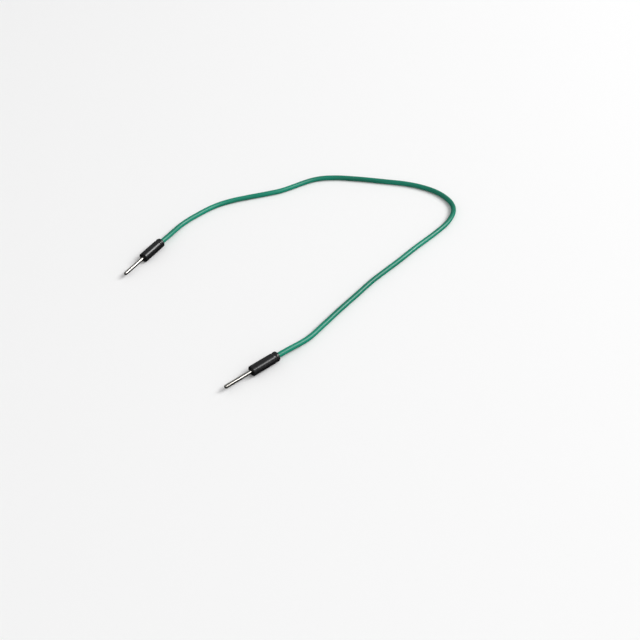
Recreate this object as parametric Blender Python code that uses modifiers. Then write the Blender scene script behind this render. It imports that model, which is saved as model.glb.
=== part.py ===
"""Breadboard jumper wire: a green insulated wire with a moulded pin connector on each end.

Metres, +Z up. The wire lies on the surface z = 0 as it comes to rest. The origin is on that
surface, at the middle of the box round the two moulded ends.
"""

import math

import bmesh
import bpy
import numpy as np
from mathutils import Vector

MM = 0.001

# Wire
INSULATION_DIAMETER = 1.3 * MM
INSULATION_WALL = 0.3 * MM
CONDUCTOR_DIAMETER = 0.54 * MM
POINT_SPACING = 3.0 * MM
STRAIGHT_OUT = 3.0 * MM
SETTLE_RUN = 12.0 * MM

# Contact pin
PIN_DIAMETER = 0.9 * MM
PIN_REACH = 7.5 * MM
COLLAR_DIAMETER = 1.5 * MM
COLLAR_LENGTH = 0.7 * MM
COLLAR_DEPTH = 1.3 * MM
NECK_LENGTH = 0.4 * MM
BARREL_DIAMETER = 1.24 * MM
BARREL_LENGTH = 2.3 * MM
BARREL_WALL = 0.22 * MM
BORE_FLOOR = 0.3 * MM
CRIMP_DEPTH = 0.1 * MM
CRIMP_RADIUS = 0.3 * MM
CRIMP_JAWS = 4

# Moulded housing
HOUSING_DIAMETER = 2.5 * MM
HOUSING_LENGTH = 7.6 * MM
FACE_ROUND = 0.2 * MM
SHOULDER_ROUND = 0.45 * MM
THROAT_FLARE = 0.1 * MM

# Clearance round every piece that another one holds
FIT_GAP = 0.05 * MM

# Facets round a turned piece, in a quarter turn of a rounded edge and round a crimping jaw
ROUND_STEPS = 40
EDGE_STEPS = 5
JAW_STEPS = 16

# Bevel resolution of the wire's tubes, and the distance under which points are one
TUBE_RESOLUTION = 2
MERGE_DISTANCE = 0.001 * MM

# Where the two moulded ends lie: the middle between the two wire exits, and the span between them
EXIT_MIDDLE_X = 3.6 * MM
EXIT_MIDDLE_Y = 4.8 * MM
EXIT_SPAN_X = 31.8 * MM
EXIT_SPAN_Y = 41.8 * MM

# Headings in the plane of the surface, from the wire's exit to the pin's tip
HEADING_A = math.radians(-120)
HEADING_B = math.radians(-139)

ENDS = {
    "a": {
        "exit": (EXIT_MIDDLE_X - EXIT_SPAN_X / 2, EXIT_MIDDLE_Y + EXIT_SPAN_Y / 2),
        "heading": HEADING_A,
    },
    "b": {
        "exit": (EXIT_MIDDLE_X + EXIT_SPAN_X / 2, EXIT_MIDDLE_Y - EXIT_SPAN_Y / 2),
        "heading": HEADING_B,
    },
}

# The free wire's route over the surface from end a to end b, as points on a grid of this size
ROUTE_GRID = 1.0 * MM
ROUTE = [
    (-7.7, 34.2), (-4.0, 38.5), (0.3, 42.4), (4.5, 44.8), (9.0, 46.5), (13.3, 47.9), (17.8, 49.5),
    (21.0, 51.3), (24.1, 53.3), (27.2, 55.0), (30.3, 55.9), (34.1, 56.1), (37.7, 55.8), (42.6, 55.1),
    (47.6, 54.2), (53.0, 53.2), (57.4, 51.7), (61.3, 49.4), (64.1, 46.4), (65.6, 42.9), (65.4, 39.2),
    (63.3, 34.7), (59.4, 29.9), (54.2, 24.3), (49.8, 19.2), (45.8, 14.8), (42.3, 10.9), (38.3, 5.7),
    (34.0, 0.2), (30.0, -5.2), (26.3, -10.0),
]

# Heights of the axes above the surface
WIRE_HEIGHT = INSULATION_DIAMETER / 2
HOUSING_HEIGHT = HOUSING_DIAMETER / 2

# Distances along an end's axis, from the wire's exit face towards the pin's tip
FACE_AT = HOUSING_LENGTH
TIP_AT = FACE_AT + PIN_REACH
COLLAR_TOP_AT = FACE_AT - COLLAR_DEPTH
COLLAR_BASE_AT = COLLAR_TOP_AT - COLLAR_LENGTH
BARREL_TOP_AT = COLLAR_BASE_AT - NECK_LENGTH
BARREL_MOUTH_AT = BARREL_TOP_AT - BARREL_LENGTH
BORE_FLOOR_AT = BARREL_TOP_AT - BORE_FLOOR
INSULATION_END_AT = BARREL_MOUTH_AT - FIT_GAP
CONDUCTOR_END_AT = BORE_FLOOR_AT - FIT_GAP


def clear_scene():
    for obj in list(bpy.data.objects):
        bpy.data.objects.remove(obj)
    for collection in list(bpy.data.collections):
        bpy.data.collections.remove(collection)


def new_collection(name):
    collection = bpy.data.collections.new(name)
    bpy.context.scene.collection.children.link(collection)
    return collection


def material(name, colour, roughness, metallic=0.0):
    mat = bpy.data.materials.new(name)
    mat.use_nodes = True
    shader = mat.node_tree.nodes["Principled BSDF"]
    shader.inputs["Base Color"].default_value = (*colour, 1)
    shader.inputs["Roughness"].default_value = roughness
    shader.inputs["Metallic"].default_value = metallic
    return mat


def arc(centre, radius, start, end, steps=EDGE_STEPS):
    """Points of a profile's round edge, from one angle to another in degrees."""
    angles = np.radians(np.linspace(start, end, steps + 1))
    return [(centre[0] + radius * math.cos(a), centre[1] + radius * math.sin(a)) for a in angles]


def turned(name, profile, mat, collection, closed):
    """A piece turned about its own Z axis from a profile of (radius, distance) points."""
    bm = bmesh.new()
    verts = [bm.verts.new((radius, 0, along)) for radius, along in profile]
    for first, second in zip(verts, verts[1:]):
        bm.edges.new((first, second))
    if closed:
        bm.edges.new((verts[-1], verts[0]))
    mesh = bpy.data.meshes.new(name)
    bm.to_mesh(mesh)
    bm.free()
    mesh.materials.append(mat)
    obj = bpy.data.objects.new(name, mesh)
    collection.objects.link(obj)
    screw = obj.modifiers.new("Turn", "SCREW")
    screw.steps = screw.render_steps = ROUND_STEPS
    screw.use_merge_vertices = True
    screw.merge_threshold = MERGE_DISTANCE
    screw.use_smooth_shade = True
    return obj


def pin_profile():
    """From the tip down the outside to the barrel's mouth, then up the bore to its floor."""
    pin = PIN_DIAMETER / 2
    collar = COLLAR_DIAMETER / 2
    barrel = BARREL_DIAMETER / 2
    bore = barrel - BARREL_WALL
    edge = BARREL_WALL / 3
    nose = arc((0, TIP_AT - pin), pin, 90, 0, 2 * EDGE_STEPS)
    shank = [
        (pin, COLLAR_TOP_AT),
        (collar - edge, COLLAR_TOP_AT),
        (collar, COLLAR_TOP_AT - edge),
        (collar, COLLAR_BASE_AT + edge),
        (collar - edge, COLLAR_BASE_AT),
        (pin, COLLAR_BASE_AT),
        (pin, BARREL_TOP_AT),
        (barrel - edge, BARREL_TOP_AT),
    ]
    mouth = [
        (barrel, BARREL_TOP_AT - edge),
        (barrel, BARREL_MOUTH_AT),
        (bore + edge, BARREL_MOUTH_AT),
        (bore, BARREL_MOUTH_AT + edge),
        (bore, BORE_FLOOR_AT),
    ]
    drill_point = [(0, BORE_FLOOR_AT + bore / 2)]
    return [(0, TIP_AT)] + nose[1:] + shank + mouth + drill_point


def housing_profile():
    """The moulding's section: its outside from the pin's face down to the wire's, then the cavity."""
    outer = HOUSING_DIAMETER / 2
    pin_hole = PIN_DIAMETER / 2 + FIT_GAP
    collar_room = COLLAR_DIAMETER / 2 + FIT_GAP
    barrel_room = max(BARREL_DIAMETER, INSULATION_DIAMETER) / 2 + FIT_GAP
    face = arc((outer - FACE_ROUND, FACE_AT - FACE_ROUND), FACE_ROUND, 90, 0)
    shoulder = arc((outer - SHOULDER_ROUND, SHOULDER_ROUND), SHOULDER_ROUND, 0, -90)
    cavity = [
        (barrel_room + THROAT_FLARE, 0),
        (barrel_room, THROAT_FLARE),
        (barrel_room, BARREL_TOP_AT + FIT_GAP),
        (pin_hole, BARREL_TOP_AT + FIT_GAP),
        (pin_hole, COLLAR_BASE_AT - FIT_GAP),
        (collar_room, COLLAR_BASE_AT - FIT_GAP),
        (collar_room, COLLAR_TOP_AT + FIT_GAP),
        (pin_hole, COLLAR_TOP_AT + FIT_GAP),
        (pin_hole, FACE_AT),
    ]
    return face + shoulder + cavity


def crimp_jaws(pin, collection):
    """The round jaws that press dents into the barrel, evenly round it at its middle."""
    middle = (BARREL_TOP_AT + BARREL_MOUTH_AT) / 2
    reach = BARREL_DIAMETER / 2 - CRIMP_DEPTH + CRIMP_RADIUS
    bm = bmesh.new()
    for turn in range(CRIMP_JAWS):
        angle = math.tau * (turn + 0.5) / CRIMP_JAWS
        jaw = bmesh.ops.create_uvsphere(
            bm, u_segments=JAW_STEPS, v_segments=JAW_STEPS // 2, radius=CRIMP_RADIUS
        )
        offset = Vector((reach * math.cos(angle), reach * math.sin(angle), middle))
        bmesh.ops.translate(bm, verts=jaw["verts"], vec=offset)
    mesh = bpy.data.meshes.new("crimp_jaws")
    bm.to_mesh(mesh)
    bm.free()
    jaws = bpy.data.objects.new(f"crimp_jaws_{pin.name[-1]}", mesh)
    collection.objects.link(jaws)
    jaws.hide_render = True
    jaws.display_type = "WIRE"
    cut = pin.modifiers.new("Crimp", "BOOLEAN")
    cut.object = jaws
    cut.operation = "DIFFERENCE"
    cut.solver = "EXACT"
    return jaws


def axis_point(end, along, side=1):
    """A point on an end's axis: towards the pin's tip, or out along the wire with side -1."""
    x, y = end["exit"]
    out = Vector((math.cos(end["heading"]), math.sin(end["heading"]), 0))
    return Vector((x, y, HOUSING_HEIGHT)) + out * along * side


def settle(distance):
    """Height of the wire's axis at a distance from the nearer moulded end."""
    t = min(distance / SETTLE_RUN, 1)
    return WIRE_HEIGHT + (HOUSING_HEIGHT - WIRE_HEIGHT) * (1 - t * t * (3 - 2 * t))


def smooth_points(knots, spacing, fine=24):
    """Evenly spaced points on a smooth curve through the knots."""
    padded = [2 * knots[0] - knots[1], *knots, 2 * knots[-1] - knots[-2]]
    dense = [knots[0]]
    for before, start, end, after in zip(padded, padded[1:], padded[2:], padded[3:]):
        for step in range(1, fine + 1):
            t = step / fine
            dense.append(
                0.5 * (2 * start + (end - before) * t
                       + (2 * before - 5 * start + 4 * end - after) * t ** 2
                       + (3 * start - before - 3 * end + after) * t ** 3)
            )
    dense = np.array(dense)
    along = np.concatenate([[0], np.cumsum(np.linalg.norm(np.diff(dense, axis=0), axis=1))])
    places = np.linspace(0, along[-1], round(along[-1] / spacing) + 1)
    return places, np.column_stack([np.interp(places, along, dense[:, k]) for k in (0, 1)])


def free_wire():
    """Centre points of the wire between the two moulded ends."""
    first, last = ENDS["a"], ENDS["b"]
    leads = [axis_point(first, 0), axis_point(first, STRAIGHT_OUT, -1)]
    tails = [axis_point(last, STRAIGHT_OUT, -1), axis_point(last, 0)]
    knots = [np.array(p[:2]) for p in leads]
    knots += [np.array(p) * ROUTE_GRID for p in ROUTE]
    knots += [np.array(p[:2]) for p in tails]
    places, flat = smooth_points(knots, POINT_SPACING)
    return [Vector((x, y, settle(min(s, places[-1] - s)))) for s, (x, y) in zip(places, flat)]


def tube(name, points, diameter, mat, collection, capped=True):
    """A round tube on a polyline."""
    curve = bpy.data.curves.new(name, "CURVE")
    curve.dimensions = "3D"
    curve.bevel_depth = diameter / 2
    curve.bevel_resolution = TUBE_RESOLUTION
    curve.use_fill_caps = capped
    spline = curve.splines.new("POLY")
    spline.points.add(len(points) - 1)
    for place, point in zip(spline.points, points):
        place.co = (*point, 1)
    spline.use_smooth = True
    curve.materials.append(mat)
    obj = bpy.data.objects.new(name, curve)
    collection.objects.link(obj)
    return obj


def build():
    clear_scene()
    parts = new_collection("breadboard_jumper_wire")
    cutters = new_collection("cutters")

    green = material("green_pvc", (0.012, 0.32, 0.17), 0.35)
    black = material("black_moulding", (0.012, 0.012, 0.013), 0.38)
    nickel = material("nickel_plate", (0.72, 0.71, 0.68), 0.2, 1.0)
    copper = material("copper", (0.86, 0.42, 0.24), 0.3, 1.0)

    for letter, end in ENDS.items():
        holder = bpy.data.objects.new(f"end_{letter}", None)
        parts.objects.link(holder)
        holder.location = axis_point(end, 0)
        holder.rotation_euler = (0, math.radians(90), end["heading"])
        pin = turned(f"contact_pin_{letter}", pin_profile(), nickel, parts, closed=False)
        jaws = crimp_jaws(pin, cutters)
        housing = turned(f"moulded_housing_{letter}", housing_profile(), black, parts, closed=True)
        for piece in (pin, jaws, housing):
            piece.parent = holder

    free = free_wire()
    sleeve = [axis_point(ENDS["a"], INSULATION_END_AT), *free, axis_point(ENDS["b"], INSULATION_END_AT)]
    insulation = tube("insulation", sleeve, INSULATION_DIAMETER, green, parts, capped=False)
    wall = insulation.modifiers.new("Wall", "SOLIDIFY")
    wall.thickness = INSULATION_WALL
    wall.offset = -1

    core = [axis_point(ENDS["a"], CONDUCTOR_END_AT), *free, axis_point(ENDS["b"], CONDUCTOR_END_AT)]
    tube("conductor", core, CONDUCTOR_DIAMETER, copper, parts)


build()
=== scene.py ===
# %% [markdown]
# # A breadboard jumper wire
#
# A jumper wire carries a signal between two holes of a breadboard. It is a thin wire of twisted copper
# in a green sleeve, with a round metal pin crimped to each end, and a black moulding round each crimp
# to hold it by.
#
# The model has every piece at its real size already. This lesson loads it as a
# fixed frame and makes the surfaces that a buyer would see: how each piece is finished, where moulds
# met, how metal shines. First it loads the frame. Nothing made here may grow out of it.

# %% Load the frame
import math

import bmesh
import bpy
from mathutils import Matrix, Vector


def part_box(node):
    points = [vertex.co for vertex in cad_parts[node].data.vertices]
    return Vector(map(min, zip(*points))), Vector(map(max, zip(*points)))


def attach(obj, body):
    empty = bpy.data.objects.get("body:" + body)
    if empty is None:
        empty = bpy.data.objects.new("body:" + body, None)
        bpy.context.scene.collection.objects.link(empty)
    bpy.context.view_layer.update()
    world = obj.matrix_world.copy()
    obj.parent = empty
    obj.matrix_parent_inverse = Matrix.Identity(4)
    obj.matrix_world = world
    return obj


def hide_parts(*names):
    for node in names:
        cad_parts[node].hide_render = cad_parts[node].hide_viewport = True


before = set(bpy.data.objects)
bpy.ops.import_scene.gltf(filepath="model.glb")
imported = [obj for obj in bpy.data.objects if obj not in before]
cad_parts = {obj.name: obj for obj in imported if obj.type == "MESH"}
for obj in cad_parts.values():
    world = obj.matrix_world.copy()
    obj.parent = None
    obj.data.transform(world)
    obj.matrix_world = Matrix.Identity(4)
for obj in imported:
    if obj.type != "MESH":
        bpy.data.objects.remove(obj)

MM = 0.001
scene = bpy.context.scene
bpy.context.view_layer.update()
print("nodes:", sorted(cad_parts))

# %% [markdown]
# # The camera
#
# The photograph looks down at the wire from the front, at 43 degrees, through a lens that sees 38
# degrees of a square picture. Both were worked out from how much thinner the wire gets towards the
# back. A camera could be placed by hand until it looks right, but a distance, an angle and the point it
# looks at say why it is there.

# %% Place the camera
LOOK_AT = Vector((29.17, -2.82, 0)) * MM
LOOK_FROM = 222.8 * MM
LOOK_DOWN = math.radians(43)
FIELD_OF_VIEW = math.radians(38)

lens = bpy.data.cameras.new("camera")
lens.sensor_width = 36
lens.angle = FIELD_OF_VIEW
lens.clip_start = 5 * MM
camera = bpy.data.objects.new("camera", lens)
camera.location = LOOK_AT + LOOK_FROM * Vector((0, -math.cos(LOOK_DOWN), math.sin(LOOK_DOWN)))
camera.rotation_euler = (math.pi / 2 - LOOK_DOWN, 0, 0)
scene.collection.objects.link(camera)
scene.camera = camera
print("camera at, mm:", [round(value / MM, 1) for value in camera.location])

# %% [markdown]
# # The way the wire lies
#
# The wire is springy, so it lies in one loose loop. It leaves each moulding straight, comes down to the
# table within 12 mm, because the moulding is thicker than the wire, and lies flat from there on.
#
# A Bezier curve with automatic handles would give such a line too. Here the line is a Catmull-Rom
# curve, which passes through every point, so the points are simply places that the wire goes through.
# The same line then carries the sleeve, the strands inside it and the pattern on its surface.

# %% The route from one moulding to the other
EXIT_A = Vector((-0.0123, 0.0257))
EXIT_B = Vector((0.0195, -0.0161))
HEADING_A = math.radians(-120)
HEADING_B = math.radians(-139)
STRAIGHT_OUT = 3.0 * MM
SETTLE_RUN = 12.0 * MM
WIRE_DIAMETER = 1.3 * MM
STEP = 0.5 * MM

ROUTE = [
    (-0.0077, 0.0342), (-0.0040, 0.0385), (0.0003, 0.0424), (0.0045, 0.0448), (0.0090, 0.0465),
    (0.0133, 0.0479), (0.0178, 0.0495), (0.0210, 0.0513), (0.0241, 0.0533), (0.0272, 0.0550),
    (0.0303, 0.0559), (0.0341, 0.0561), (0.0377, 0.0558), (0.0426, 0.0551), (0.0476, 0.0542),
    (0.0530, 0.0532), (0.0574, 0.0517), (0.0613, 0.0494), (0.0641, 0.0464), (0.0656, 0.0429),
    (0.0654, 0.0392), (0.0633, 0.0347), (0.0594, 0.0299), (0.0542, 0.0243), (0.0498, 0.0192),
    (0.0458, 0.0148), (0.0423, 0.0109), (0.0383, 0.0057), (0.0340, 0.0002), (0.0300, -0.0052),
    (0.0263, -0.0100),
]

low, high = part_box("moulded_housing_a")
AXIS_HEIGHT = (low.z + high.z) / 2


def towards(heading):
    """The direction in which an end's pin points."""
    return Vector((math.cos(heading), math.sin(heading)))


def evenly(points, spacing):
    """The same line with its points at even distances."""
    lengths = [(b - a).length for a, b in zip(points, points[1:])]
    count = round(sum(lengths) / spacing)
    stride = sum(lengths) / count
    result = [points[0]]
    travelled = 0
    for start, end, length in zip(points, points[1:], lengths):
        while len(result) < count and len(result) * stride <= travelled + length:
            share = (len(result) * stride - travelled) / length
            result.append(start.lerp(end, share))
        travelled += length
    return [*result, points[-1]]


def smooth(knots, fine=24):
    """A Catmull-Rom curve through the knots, in short straight steps."""
    padded = [2 * knots[0] - knots[1], *knots, 2 * knots[-1] - knots[-2]]
    points = [knots[0]]
    for before, start, end, after in zip(padded, padded[1:], padded[2:], padded[3:]):
        for step in range(1, fine + 1):
            t = step / fine
            points.append(
                0.5 * (2 * start + (end - before) * t
                       + (2 * before - 5 * start + 4 * end - after) * t ** 2
                       + (3 * start - before - 3 * end + after) * t ** 3)
            )
    return points


def settled(distance):
    """Height of the wire's axis at a distance from the nearer moulding."""
    t = min(distance / SETTLE_RUN, 1)
    return WIRE_DIAMETER / 2 + (AXIS_HEIGHT - WIRE_DIAMETER / 2) * (1 - t * t * (3 - 2 * t))


knots = [EXIT_A, EXIT_A - STRAIGHT_OUT * towards(HEADING_A)]
knots += [Vector(point) for point in ROUTE]
knots += [EXIT_B - STRAIGHT_OUT * towards(HEADING_B), EXIT_B]
flat = evenly(smooth(knots), STEP)
free_length = sum((b - a).length for a, b in zip(flat, flat[1:]))
free_wire = []
for index, point in enumerate(flat):
    along = free_length * index / (len(flat) - 1)
    free_wire.append(point.to_3d() + Vector((0, 0, settled(min(along, free_length - along)))))
print(f"free wire: {free_length / MM:.1f} mm in {len(free_wire)} points")

# %% [markdown]
# # The sleeve
#
# The sleeve is soft PVC, pressed hot round the strands as they run through a die. It is the same all
# along, so a tube that follows a line is its true form. A curve object could stay one, but a mesh can
# be made hollow, and it can carry an attribute. The attribute here is the place that each point would
# have if the wire were pulled straight along X: a pattern that reads it runs along the wire round every
# bend, with no seam.

# %% Make the sleeve
MOULDING_LENGTH = 7.6 * MM
SLEEVE_REACH = 2.85 * MM
SLEEVE_WALL = 0.3 * MM
SLEEVE_ROUNDNESS = 8


def line_of_wire(reach):
    """The wire's axis, from reach inside one moulding to reach inside the other."""
    count = round(reach / STEP)
    line = list(free_wire)
    for index in range(1, count + 1):
        inside = reach * index / count
        line.insert(0, free_wire[0] + (inside * towards(HEADING_A)).to_3d())
        line.append(free_wire[-1] + (inside * towards(HEADING_B)).to_3d())
    return line


def tubes(name, lines, diameter, roundness, caps):
    """A mesh of round tubes along lines, with each point's place on the straightened wire."""
    curve = bpy.data.curves.new(name, "CURVE")
    curve.dimensions = "3D"
    curve.bevel_depth = diameter / 2
    curve.bevel_resolution = roundness
    curve.use_fill_caps = caps
    for line in lines:
        spline = curve.splines.new("POLY")
        spline.points.add(len(line) - 1)
        for place, point in zip(spline.points, line):
            place.co = (*point, 1)
    guide = bpy.data.objects.new(name, curve)
    scene.collection.objects.link(guide)
    mesh = bpy.data.meshes.new_from_object(guide.evaluated_get(bpy.context.evaluated_depsgraph_get()))
    mesh.name = name
    bpy.data.objects.remove(guide)
    bpy.data.curves.remove(curve)

    length = sum((b - a).length for a, b in zip(lines[0], lines[0][1:]))
    straight = mesh.attributes.new("straight", "FLOAT_VECTOR", "POINT")
    for loop, place in zip(mesh.loops, mesh.uv_layers[0].data):
        along, around = place.uv
        turn = math.tau * around
        across = Vector((0, math.cos(turn), math.sin(turn))) * diameter / 2
        straight.data[loop.vertex_index].vector = Vector((along * length, 0, 0)) + across
    mesh.shade_smooth()
    return mesh


sleeve_line = line_of_wire(SLEEVE_REACH)
sleeve_mesh = tubes("wire_sleeve", [sleeve_line], WIRE_DIAMETER, SLEEVE_ROUNDNESS, caps=False)
print("sleeve:", len(sleeve_mesh.polygons), "faces along", len(sleeve_line), "points")

# %% [markdown]
# # A piece that belongs to the part
#
# The frame has a node for each real piece. A new mesh could simply lie over its node, but then both
# would show, and neither would follow the part when it moves. So each finished mesh is put on an object
# of its own, which rides on the part, stands for its node, and takes the material that it is given.

# %% Hand a piece over


def piece(name, mesh, *nodes, material, slot):
    """A finished piece: it stands for its nodes, rides on the part and takes the material; slot is not used.
    """
    obj = bpy.data.objects.new(name, mesh)
    scene.collection.objects.link(obj)
    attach(obj, "root")
    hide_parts(*nodes)
    mesh.materials.clear()
    mesh.materials.append(material)
    print(f"{name}: {len(mesh.vertices)} points, {len(mesh.polygons)} faces")
    return obj


print(len(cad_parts), "nodes wait for a piece")

# %% [markdown]
# # Colours and nodes
#
# Every colour below is the hex value that a picture editor shows. A shader wants linear light, so one
# function turns the one into the other. A second function adds a node with its settings and its links
# in one line, which keeps each material short enough to read as a recipe.

# %% Two helpers for materials


def linear(colour):
    """An sRGB hex colour as the linear values that a shader takes."""
    parts = [int(colour[start:start + 2], 16) / 255 for start in (1, 3, 5)]
    return (*[p / 12.92 if p <= 0.04045 else ((p + 0.055) / 1.055) ** 2.4 for p in parts], 1)


def add(tree, kind, inputs, **settings):
    """A node of a kind, with its settings, and its inputs as values or as links from other nodes."""
    node = tree.nodes.new(kind)
    for name, value in settings.items():
        setattr(node, name, value)
    for name, value in inputs.items():
        if isinstance(value, bpy.types.NodeSocket):
            tree.links.new(value, node.inputs[name])
        else:
            node.inputs[name].default_value = value
    return node


def surface(name):
    """A new material, with its node tree and its shader."""
    material = bpy.data.materials.new(name)
    material.use_nodes = True
    tree = material.node_tree
    return material, tree, tree.nodes["Principled BSDF"]


print("the grey #808080 as linear light:", round(linear("#808080")[0], 3))

# %% [markdown]
# # Soft PVC, extruded
#
# The sleeve's PVC is dyed through and comes out of its die smooth, with a half gloss. Three things keep
# it from looking like paint: the dye is not quite even along the wire, the die leaves fine lines that
# run along it, and the gloss changes a little where the wire has been handled. Each is a noise that is
# stretched along the wire. The lines are drawn 0.2 mm apart, about four times as coarse as real ones,
# so that they show in a render.

# %% Extruded PVC, green
DYE_DEEP = "#06735b"
DYE_THIN = "#098e73"
DYE_LUMP = (14 * MM, 1.6 * MM, 1.6 * MM)
DIE_LINE = (16 * MM, 0.2 * MM, 0.2 * MM)
HANDLED_PATCH = (5 * MM, 0.9 * MM, 0.9 * MM)


def extruded_pvc():
    """Green PVC with uneven dye, lines from the die and patches of changed gloss."""
    material, tree, shader = surface("extruded_pvc_green")
    place = add(tree, "ShaderNodeAttribute", {}, attribute_name="straight").outputs["Vector"]

    dye_place = add(tree, "ShaderNodeMapping", {"Vector": place, "Scale": DYE_LUMP}, vector_type="TEXTURE")
    dye = add(tree, "ShaderNodeTexNoise", {"Vector": dye_place.outputs[0], "Scale": 1.0, "Detail": 3.0})
    colour = add(
        tree, "ShaderNodeMapRange",
        {"Value": dye.outputs["Fac"], "From Min": 0.3, "From Max": 0.7, "To Min": 0.0, "To Max": 1.0},
    )
    green = add(
        tree, "ShaderNodeMix",
        {"Factor": colour.outputs[0], "A": linear(DYE_DEEP), "B": linear(DYE_THIN)},
        data_type="RGBA",
    )

    patch_place = add(
        tree, "ShaderNodeMapping", {"Vector": place, "Scale": HANDLED_PATCH}, vector_type="TEXTURE",
    )
    patch = add(tree, "ShaderNodeTexNoise", {"Vector": patch_place.outputs[0], "Scale": 1.0, "Detail": 4.0})
    gloss = add(
        tree, "ShaderNodeMapRange",
        {"Value": patch.outputs["Fac"], "From Min": 0.3, "From Max": 0.7, "To Min": 0.27, "To Max": 0.4},
    )

    line_place = add(tree, "ShaderNodeMapping", {"Vector": place, "Scale": DIE_LINE}, vector_type="TEXTURE")
    line = add(tree, "ShaderNodeTexNoise", {"Vector": line_place.outputs[0], "Scale": 1.0, "Detail": 2.0})
    relief = add(
        tree, "ShaderNodeBump", {"Height": line.outputs["Fac"], "Strength": 0.35, "Distance": 0.03 * MM},
    )

    tree.links.new(green.outputs["Result"], shader.inputs["Base Color"])
    tree.links.new(gloss.outputs[0], shader.inputs["Roughness"])
    tree.links.new(relief.outputs["Normal"], shader.inputs["Normal"])
    shader.inputs["IOR"].default_value = 1.53
    return material


sleeve = piece("wire_sleeve", sleeve_mesh, "insulation", material=extruded_pvc(), slot="green_pvc")
wall = sleeve.modifiers.new("wall", "SOLIDIFY")
wall.thickness = SLEEVE_WALL
wall.offset = -1

# %% [markdown]
# # The strands
#
# Seven thin copper wires, six twisted round one, bend far more often without breaking than one thick
# wire. They can't be seen once the sleeve is on, but they are what the wire is made of, so they follow
# the sleeve's line. Each outer strand is a tube on a helix round that line. A Screw modifier on a
# straight bundle, bent afterwards by a Curve modifier, would also do it. Working out the helix keeps
# the strands evenly apart in the bends.

# %% Drawn copper
STRAND_DIAMETER = 0.18 * MM
OUTER_STRANDS = 6
LAY_LENGTH = 9.0 * MM
STRANDS_REACH = 4.85 * MM
STRAND_ROUNDNESS = 2
MERGE = 0.001 * MM
COPPER_DULL = "#c9805c"
COPPER_BRIGHT = "#e0a583"
DRAWN_LINE = (3 * MM, 0.04 * MM, 0.04 * MM)


def drawn_copper():
    """Copper pulled through a die: bright, pink-orange, with fine lines along it."""
    material, tree, shader = surface("drawn_copper")
    place = add(tree, "ShaderNodeAttribute", {}, attribute_name="straight").outputs["Vector"]
    line_place = add(tree, "ShaderNodeMapping", {"Vector": place, "Scale": DRAWN_LINE}, vector_type="TEXTURE")
    line = add(tree, "ShaderNodeTexNoise", {"Vector": line_place.outputs[0], "Scale": 1.0, "Detail": 2.0})
    tarnish = add(
        tree, "ShaderNodeMix",
        {"Factor": line.outputs["Fac"], "A": linear(COPPER_DULL), "B": linear(COPPER_BRIGHT)},
        data_type="RGBA",
    )
    gloss = add(tree, "ShaderNodeMapRange", {"Value": line.outputs["Fac"], "To Min": 0.2, "To Max": 0.36})
    tree.links.new(tarnish.outputs["Result"], shader.inputs["Base Color"])
    tree.links.new(gloss.outputs[0], shader.inputs["Roughness"])
    shader.inputs["Metallic"].default_value = 1
    return material


def strand_lines(line):
    """The middle strand's line and the helices of the strands round it."""
    lines = [line]
    for strand in range(OUTER_STRANDS):
        helix = []
        for index, point in enumerate(line):
            before, after = line[max(index - 1, 0)], line[min(index + 1, len(line) - 1)]
            along = (after - before).normalized()
            side = along.cross(Vector((0, 0, 1))).normalized()
            turn = math.tau * (index * STEP / LAY_LENGTH + strand / OUTER_STRANDS)
            offset = side * math.cos(turn) + side.cross(along) * math.sin(turn)
            helix.append(point + offset * STRAND_DIAMETER)
        lines.append(helix)
    return lines


strands_line = line_of_wire(STRANDS_REACH)
strands_mesh = tubes(
    "copper_strands", strand_lines(strands_line), STRAND_DIAMETER, STRAND_ROUNDNESS, caps=True
)
bm = bmesh.new()
bm.from_mesh(strands_mesh)
bmesh.ops.remove_doubles(bm, verts=bm.verts, dist=MERGE)
bm.to_mesh(strands_mesh)
bm.free()
strands = piece("copper_strands", strands_mesh, "conductor", material=drawn_copper(), slot="copper")

# %% [markdown]
# # Turned pieces
#
# The pin was turned on a lathe, and the cavity of the moulding's tool was too. A lathe draws a profile
# and spins the metal past it, and the same two steps make the mesh: a few corners, joined in order, are
# rounded where the real edge is round, and the outline is spun about its axis. A stack of cylinders and
# cones would need unions, and its edges would stay sharp. The piece is made standing on the origin, and
# then laid along its end's axis.

# %% Make a turned piece
ENDS = {"a": (EXIT_A, HEADING_A), "b": (EXIT_B, HEADING_B)}
ROUND_STEPS = 8
SHARP = math.radians(40)


def outline(corners, closed):
    """A piece's half section, from corners of (radius, place along the axis, rounding)."""
    bm = bmesh.new()
    points = [bm.verts.new((radius, 0, along)) for radius, along, rounding in corners]
    pairs = list(zip(points, points[1:]))
    if closed:
        pairs.append((points[-1], points[0]))
    for pair in pairs:
        bm.edges.new(pair)
    for point, (radius, along, rounding) in zip(points, corners):
        if rounding:
            bmesh.ops.bevel(
                bm, geom=[point], offset=rounding, offset_type="OFFSET", segments=ROUND_STEPS,
                profile=0.5, affect="VERTICES", material=-1, clamp_overlap=False,
            )
    return bm


def cut_length(bm, radius, stride):
    """Cuts the long straight stretches at a radius into even lengths, so that they can be shaped."""
    for edge in list(bm.edges):
        if all(abs(vert.co.x - radius) < MERGE for vert in edge.verts) and edge.calc_length() > 2 * stride:
            bmesh.ops.subdivide_edges(bm, edges=[edge], cuts=round(edge.calc_length() / stride) - 1)


def spin(bm, steps):
    """Turns an outline full circle about Z into a closed surface that faces outwards."""
    bmesh.ops.spin(
        bm, geom=bm.verts[:] + bm.edges[:], cent=(0, 0, 0), axis=(0, 0, 1), angle=math.tau, steps=steps,
        use_merge=True, use_duplicate=False,
    )
    bmesh.ops.remove_doubles(bm, verts=bm.verts, dist=MERGE)
    bmesh.ops.recalc_face_normals(bm, faces=bm.faces)


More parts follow.
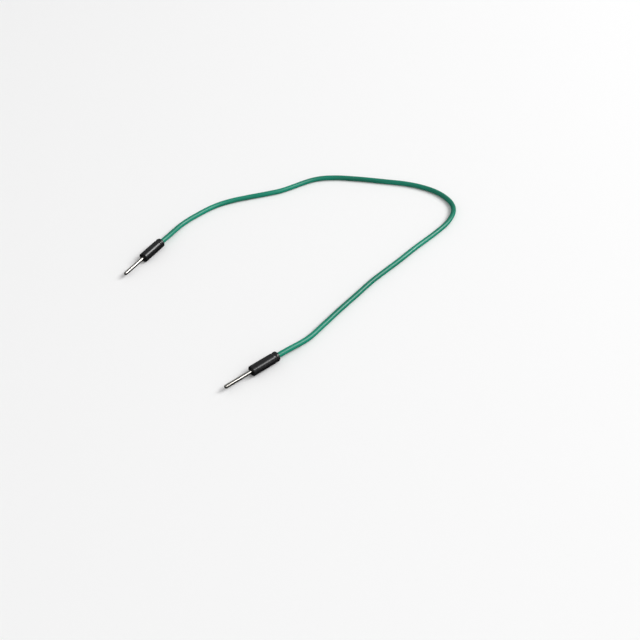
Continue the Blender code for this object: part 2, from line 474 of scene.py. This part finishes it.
def in_order(bm):
    """Sorts points, edges and faces by place, because a merge leaves them in an order that varies."""
    for rank, vert in enumerate(sorted(bm.verts, key=lambda vert: tuple(vert.co))):
        vert.index = rank
    bm.verts.sort()
    for items in (bm.edges, bm.faces):
        ranked = sorted(items, key=lambda item: sorted(vert.index for vert in item.verts))
        for rank, item in enumerate(ranked):
            item.index = rank
        items.sort()


def laid_on(end, bm, name):
    """The mesh of a piece, laid along the axis of one end with its pin side outwards."""
    in_order(bm)
    exit_point, heading = end
    place = Matrix.Translation((*exit_point, AXIS_HEIGHT))
    turn = Matrix.Rotation(heading, 4, "Z") @ Matrix.Rotation(math.radians(90), 4, "Y")
    bmesh.ops.transform(bm, matrix=place @ turn, verts=bm.verts)
    mesh = bpy.data.meshes.new(name)
    bm.to_mesh(mesh)
    bm.free()
    mesh.shade_smooth()
    mesh.set_sharp_from_angle(angle=SHARP)
    return mesh


for letter, (exit_point, heading) in ENDS.items():
    exit_mm = [round(value / MM, 1) for value in exit_point]
    print(f"end {letter}: exit at {exit_mm} mm, {math.degrees(heading):.0f} deg")

# %% [markdown]
# # The contact pin
#
# The pin is brass wire, turned to a round nose so that it finds the hole, with a collar that the
# moulding grips and a barrel that takes the stripped strands. Four round jaws then press the barrel
# onto them. Only the nose and the shank show, but the rest is what keeps the wire on its pin, so it is
# made too. The dents are pressed as the jaws do it: every point of the barrel that lies inside a ball
# is pushed out of it.

# %% Make the pins
PIN_RADIUS = 0.45 * MM
NOSE_ROUND = 0.43 * MM
COLLAR_RADIUS = 0.75 * MM
BARREL_RADIUS = 0.62 * MM
BORE_RADIUS = 0.40 * MM
TURNED_EDGE = 0.07 * MM
PIN_REACH = 7.5 * MM
COLLAR_DEPTH = 1.3 * MM
COLLAR_LENGTH = 0.7 * MM
NECK_LENGTH = 0.4 * MM
BARREL_LENGTH = 2.3 * MM
FLOOR_THICKNESS = 0.3 * MM
TIP_AT = MOULDING_LENGTH + PIN_REACH
COLLAR_TOP_AT = MOULDING_LENGTH - COLLAR_DEPTH
COLLAR_BASE_AT = COLLAR_TOP_AT - COLLAR_LENGTH
BARREL_TOP_AT = COLLAR_BASE_AT - NECK_LENGTH
BARREL_MOUTH_AT = BARREL_TOP_AT - BARREL_LENGTH
BORE_FLOOR_AT = BARREL_TOP_AT - FLOOR_THICKNESS
JAWS = 4
JAW_RADIUS = 0.3 * MM
DENT_DEPTH = 0.1 * MM
PIN_STEPS = 96
BARREL_GRID = 0.05 * MM


def press_dents(bm):
    """Presses the round jaws into the middle of the barrel."""
    middle = (BARREL_TOP_AT + BARREL_MOUTH_AT) / 2
    reach = BARREL_RADIUS - DENT_DEPTH + JAW_RADIUS
    for jaw in range(JAWS):
        turn = math.tau * (jaw + 0.5) / JAWS
        centre = Vector((reach * math.cos(turn), reach * math.sin(turn), middle))
        for vert in bm.verts:
            offset = vert.co - centre
            if offset.length < JAW_RADIUS:
                vert.co = centre + offset.normalized() * JAW_RADIUS


def contact_pin(name, end):
    """One pin, from its nose down to the mouth of its crimped barrel."""
    bm = outline([
        (0, TIP_AT, 0),
        (PIN_RADIUS, TIP_AT, NOSE_ROUND),
        (PIN_RADIUS, COLLAR_TOP_AT, 0),
        (COLLAR_RADIUS, COLLAR_TOP_AT, TURNED_EDGE),
        (COLLAR_RADIUS, COLLAR_BASE_AT, TURNED_EDGE),
        (PIN_RADIUS, COLLAR_BASE_AT, 0),
        (PIN_RADIUS, BARREL_TOP_AT, 0),
        (BARREL_RADIUS, BARREL_TOP_AT, TURNED_EDGE),
        (BARREL_RADIUS, BARREL_MOUTH_AT, TURNED_EDGE / 2),
        (BORE_RADIUS, BARREL_MOUTH_AT, TURNED_EDGE),
        (BORE_RADIUS, BORE_FLOOR_AT, 0),
        (0, BORE_FLOOR_AT + BORE_RADIUS / 2, 0),
    ], closed=False)
    cut_length(bm, BARREL_RADIUS, BARREL_GRID)
    spin(bm, PIN_STEPS)
    press_dents(bm)
    return laid_on(end, bm, name)


pin_meshes = {letter: contact_pin(f"pin_{letter}", end) for letter, end in ENDS.items()}
print(f"pins: {len(pin_meshes['a'].polygons)} faces each, tip {TIP_AT / MM:.1f} mm from the exit")

# %% [markdown]
# # Nickel plate
#
# A few micrometres of bright nickel keep the brass from tarnishing. Nickel is a warm grey mirror, and
# this one lies on drawn wire, so its reflections are drawn out across fine lines that run along the
# pin. The lines are a noise that is stretched along each pin's own axis: a Mapping node of the Texture
# kind turns and divides the object's coordinates, so its scale is simply the size of one lump. The
# lines are drawn as coarse as 0.1 mm.

# %% Nickel plate on drawn brass
NICKEL_DULL = "#b3b0aa"
NICKEL_BRIGHT = "#cdcac4"
POLISH_LINE = (4 * MM, 0.1 * MM, 0.1 * MM)
HANDLED_SPOT = (3 * MM, 0.8 * MM, 0.8 * MM)


def nickel_plate(name, end):
    """Nickel over drawn wire, with its lines along one end's axis."""
    material, tree, shader = surface(name)
    exit_point, heading = end
    place = add(tree, "ShaderNodeTexCoord", {}).outputs["Object"]
    axis = {"Vector": place, "Location": (*exit_point, AXIS_HEIGHT), "Rotation": (0, 0, heading)}

    line_place = add(tree, "ShaderNodeMapping", {**axis, "Scale": POLISH_LINE}, vector_type="TEXTURE")
    line = add(tree, "ShaderNodeTexNoise", {"Vector": line_place.outputs[0], "Scale": 1.0, "Detail": 2.0})
    spot_place = add(tree, "ShaderNodeMapping", {**axis, "Scale": HANDLED_SPOT}, vector_type="TEXTURE")
    spot = add(tree, "ShaderNodeTexNoise", {"Vector": spot_place.outputs[0], "Scale": 1.0, "Detail": 4.0})

    tint = add(
        tree, "ShaderNodeMix",
        {"Factor": spot.outputs["Fac"], "A": linear(NICKEL_DULL), "B": linear(NICKEL_BRIGHT)},
        data_type="RGBA",
    )
    gloss = add(
        tree, "ShaderNodeMapRange",
        {"Value": spot.outputs["Fac"], "From Min": 0.3, "From Max": 0.7, "To Min": 0.18, "To Max": 0.26},
    )
    relief = add(
        tree, "ShaderNodeBump", {"Height": line.outputs["Fac"], "Strength": 0.15, "Distance": 0.01 * MM},
    )
    tree.links.new(tint.outputs["Result"], shader.inputs["Base Color"])
    tree.links.new(gloss.outputs[0], shader.inputs["Roughness"])
    tree.links.new(relief.outputs["Normal"], shader.inputs["Normal"])
    shader.inputs["Metallic"].default_value = 1
    return material


pins = [
    piece(
        f"pin_{letter}", pin_meshes[letter], f"contact_pin_{letter}",
        material=nickel_plate(f"nickel_plate_{letter}", end), slot="nickel_plate",
    )
    for letter, end in ENDS.items()
]

# %% [markdown]
# # The moulding
#
# The crimped end is laid in a split mould, and black PVC is pressed round it. It fills every space, so
# the cavity is the outline of what it holds, and the wire's end gets a softer edge than the pin's,
# which must seat flat on the board. In the photograph the highlight breaks off for a moment near the
# wire's end, as it does at a shallow ring. The ring's depth is a guess, and it is turned into the
# cavity with the rest of the outline. Where the halves of the mould meet, a thin line of plastic stands
# proud along both sides. It could be a bump in the material, but then it would be missing from the mesh
# and from the edge of the picture, so its points are moved.

# %% Make the mouldings
MOULDING_RADIUS = 1.25 * MM
FACE_ROUND = 0.2 * MM
SHOULDER_ROUND = 0.45 * MM
LIP_ROUND = 0.06 * MM
GRIP = 0.01 * MM
SEAM_HEIGHT = 0.02 * MM
RING_AT = 1.1 * MM
RING_WIDTH = 0.7 * MM
RING_FLOOR = 0.3 * MM
RING_DEPTH = 0.09 * MM
RING_ROUND = 0.1 * MM
SEAM_ROLL = {"a": math.radians(68), "b": math.radians(114)}
SEAM_FADE = 0.2 * MM
MOULDING_STEPS = 144


def raise_seam(bm):
    """Lifts the outer line of points on each side, less and less where the ends' edges round off."""
    for vert in bm.verts:
        if abs(vert.co.y) < MERGE:
            sunk = MOULDING_RADIUS - RING_DEPTH - abs(vert.co.x)
            share = min(max(1 - sunk / (SEAM_FADE - RING_DEPTH), 0), 1)
            vert.co.x += math.copysign(SEAM_HEIGHT * share, vert.co.x)


def moulding(name, end, roll):
    """One moulding, with a cavity that follows the pin and the wire, rolled to set its seam."""
    wire_hole = WIRE_DIAMETER / 2 + GRIP
    pin_hole = PIN_RADIUS + GRIP
    collar_room = COLLAR_RADIUS + GRIP
    ring_radius = MOULDING_RADIUS - RING_DEPTH
    bm = outline([
        (pin_hole, MOULDING_LENGTH, LIP_ROUND),
        (MOULDING_RADIUS, MOULDING_LENGTH, FACE_ROUND),
        (MOULDING_RADIUS, RING_AT + RING_WIDTH / 2, RING_ROUND),
        (ring_radius, RING_AT + RING_FLOOR / 2, RING_ROUND),
        (ring_radius, RING_AT - RING_FLOOR / 2, RING_ROUND),
        (MOULDING_RADIUS, RING_AT - RING_WIDTH / 2, RING_ROUND),
        (MOULDING_RADIUS, 0, SHOULDER_ROUND),
        (wire_hole, 0, LIP_ROUND),
        (wire_hole, BARREL_TOP_AT + GRIP, 0),
        (pin_hole, BARREL_TOP_AT + GRIP, 0),
        (pin_hole, COLLAR_BASE_AT - GRIP, 0),
        (collar_room, COLLAR_BASE_AT - GRIP, 0),
        (collar_room, COLLAR_TOP_AT + GRIP, 0),
        (pin_hole, COLLAR_TOP_AT + GRIP, 0),
    ], closed=True)
    spin(bm, MOULDING_STEPS)
    raise_seam(bm)
    bmesh.ops.rotate(bm, verts=bm.verts, cent=(0, 0, 0), matrix=Matrix.Rotation(roll, 3, "Z"))
    return laid_on(end, bm, name)


moulding_meshes = {
    letter: moulding(f"moulding_{letter}", end, SEAM_ROLL[letter]) for letter, end in ENDS.items()
}
print(f"mouldings: {len(moulding_meshes['a'].polygons)} faces each")

# %% [markdown]
# # Black PVC, moulded
#
# Carbon black dyes this PVC through, and the tool's polished steel gives it a satin gloss. What the eye
# reads as moulded is in the highlight: it wavers a little, because the plastic shrank unevenly as it
# cooled, and it is broken up by a fine grain. Real grain is a few hundredths of a millimetre; here it
# is 0.15 mm, so that it shows.

# %% Moulded PVC, black
BLACK_DEEP = "#121213"
BLACK_PALE = "#1f1f21"
SHRINK_WAVE = (1.5 * MM, 1.5 * MM, 1.5 * MM)
MOULD_GRAIN = (0.15 * MM, 0.15 * MM, 0.15 * MM)


def moulded_pvc():
    """Black PVC with a slow wave and a fine grain in its satin gloss."""
    material, tree, shader = surface("moulded_pvc_black")
    place = add(tree, "ShaderNodeTexCoord", {}).outputs["Object"]
    wave_place = add(
        tree, "ShaderNodeMapping", {"Vector": place, "Scale": SHRINK_WAVE}, vector_type="TEXTURE",
    )
    wave = add(tree, "ShaderNodeTexNoise", {"Vector": wave_place.outputs[0], "Scale": 1.0, "Detail": 2.0})
    grain_place = add(
        tree, "ShaderNodeMapping", {"Vector": place, "Scale": MOULD_GRAIN}, vector_type="TEXTURE",
    )
    grain = add(tree, "ShaderNodeTexNoise", {"Vector": grain_place.outputs[0], "Scale": 1.0, "Detail": 3.0})

    black = add(
        tree, "ShaderNodeMix",
        {"Factor": wave.outputs["Fac"], "A": linear(BLACK_DEEP), "B": linear(BLACK_PALE)},
        data_type="RGBA",
    )
    gloss = add(
        tree, "ShaderNodeMapRange",
        {"Value": grain.outputs["Fac"], "From Min": 0.3, "From Max": 0.7, "To Min": 0.2, "To Max": 0.3},
    )
    shrink = add(
        tree, "ShaderNodeBump", {"Height": wave.outputs["Fac"], "Strength": 0.4, "Distance": 0.1 * MM},
    )
    relief = add(
        tree, "ShaderNodeBump",
        {"Height": grain.outputs["Fac"], "Strength": 0.2, "Distance": 0.01 * MM,
         "Normal": shrink.outputs["Normal"]},
    )
    tree.links.new(black.outputs["Result"], shader.inputs["Base Color"])
    tree.links.new(gloss.outputs[0], shader.inputs["Roughness"])
    tree.links.new(relief.outputs["Normal"], shader.inputs["Normal"])
    shader.inputs["IOR"].default_value = 1.54
    return material


black_pvc = moulded_pvc()
mouldings = [
    piece(
        f"moulding_{letter}", mesh, f"moulded_housing_{letter}", material=black_pvc, slot="black_moulding",
    )
    for letter, mesh in moulding_meshes.items()
]

# %% [markdown]
# The cord
#
# The sleeve has a real length: it runs straight inside each moulding and bends only between them.

# %% [markdown]
# # The table
#
# The wire lies on plain white card. Card scatters light evenly and has hardly any gloss. A plane is
# enough for it, because nothing sinks into it. It is kept out of the reflections, as a photographer
# does with a black card laid beside a shiny piece: a mirror that lies on white has no dark edge, and no
# longer looks round.

# %% White card
TABLE_SIDE = 3.0
CARD_WHITE = "#f6f6f6"

bm = bmesh.new()
bmesh.ops.create_grid(bm, x_segments=1, y_segments=1, size=TABLE_SIDE / 2)
table_mesh = bpy.data.meshes.new("table")
bm.to_mesh(table_mesh)
bm.free()
table = bpy.data.objects.new("table", table_mesh)
table.visible_glossy = False
scene.collection.objects.link(table)
card, _, card_shader = surface("white_card")
card_shader.inputs["Base Color"].default_value = linear(CARD_WHITE)
card_shader.inputs["Roughness"].default_value = 0.9
card_shader.inputs["Specular IOR Level"].default_value = 0.2
table_mesh.materials.append(card)
print("table:", TABLE_SIDE, "m square")

# %% [markdown]
# # Soft boxes
#
# A long bright stripe on a round piece is the picture of a lamp. Where the lamp has to stand follows
# from the mirror: a cylinder sends the camera's ray out on a cone round its own axis, and the middle of
# that cone, worked out for each end, is the direction of its stripe light. A wide, weak window between
# the two adds to the pale middle of the metal. They stand 1.8 m away, so that the table is nearly as
# bright at the back as in front.

# %% Three soft boxes
LAMP_DISTANCE = 1.8


def middle_of(end):
    """The middle of an end's moulding."""
    exit_point, heading = end
    return (exit_point + towards(heading) * MOULDING_LENGTH / 2).to_3d()


def mirrored_to_camera(end):
    """The direction that the middle line of an end shows to the camera, as a mirror would."""
    view = (camera.location - middle_of(end)).normalized()
    along = towards(end[1]).to_3d()
    return view - 2 * view.dot(along) * along


def softbox(name, subject, direction, width, height, power):
    """A rectangular light that stands in a direction from its subject and is aimed at it."""
    lamp = bpy.data.lights.new(name, "AREA")
    lamp.shape = "RECTANGLE"
    lamp.size = width
    lamp.size_y = height
    lamp.energy = power
    obj = bpy.data.objects.new(name, lamp)
    obj.location = subject + direction.normalized() * LAMP_DISTANCE
    obj.rotation_euler = direction.to_track_quat("Z", "Y").to_euler()
    scene.collection.objects.link(obj)
    print(f"{name}: {width} x {height} m, {power} W")


stripe_a, stripe_b = (mirrored_to_camera(end) for end in ENDS.values())
softbox("stripe_light_a", middle_of(ENDS["a"]), stripe_a, width=0.54, height=0.72, power=13.0)
softbox("stripe_light_b", middle_of(ENDS["b"]), stripe_b, width=0.54, height=0.54, power=6.0)
softbox("window", LOOK_AT, stripe_a + stripe_b, width=2.0, height=1.0, power=5.5)

# %% [markdown]
# # A tent of white cloth
#
# The rest of the light comes from all round, as in a tent of white cloth, and leaves only soft shadows.
# A plain white World would do that, but metal and black plastic would mirror it and turn pale. Here the
# World tells the rays apart: what scatters sees the white tent, what mirrors sees a pale wall above and
# a dark card below, and the camera sees a pale grey backdrop, which shows only in low views, past the
# table's far edge.

# %% World and view
WHITE_TENT = "#c2c2c2"
PALE_WALL = "#8c8c8c"
DARK_CARD = "#1c1c1c"
BACKDROP = "#e6e6e6"

studio = bpy.data.worlds.new("studio")
studio.use_nodes = True
scene.world = studio
tree = studio.node_tree
rays = add(tree, "ShaderNodeLightPath", {})
direction = add(tree, "ShaderNodeTexCoord", {})
height = add(tree, "ShaderNodeSeparateXYZ", {"Vector": direction.outputs["Generated"]})
rise = add(
    tree, "ShaderNodeMapRange",
    {"Value": height.outputs["Z"], "From Min": -0.1, "From Max": 0.3, "To Min": 0.0, "To Max": 1.0},
)
mirrored = add(
    tree, "ShaderNodeMix",
    {"Factor": rise.outputs[0], "A": linear(DARK_CARD), "B": linear(PALE_WALL)},
    data_type="RGBA",
)
lit = add(
    tree, "ShaderNodeMix",
    {"Factor": rays.outputs["Is Glossy Ray"], "A": linear(WHITE_TENT), "B": mirrored.outputs["Result"]},
    data_type="RGBA",
)
seen = add(
    tree, "ShaderNodeMix",
    {"Factor": rays.outputs["Is Camera Ray"], "A": lit.outputs["Result"], "B": linear(BACKDROP)},
    data_type="RGBA",
)
tree.links.new(seen.outputs["Result"], tree.nodes["Background"].inputs["Color"])
scene.view_settings.view_transform = "Standard"
print("tent lights with", round(linear(WHITE_TENT)[0], 2), "and mirrors see", round(linear(PALE_WALL)[0], 2))
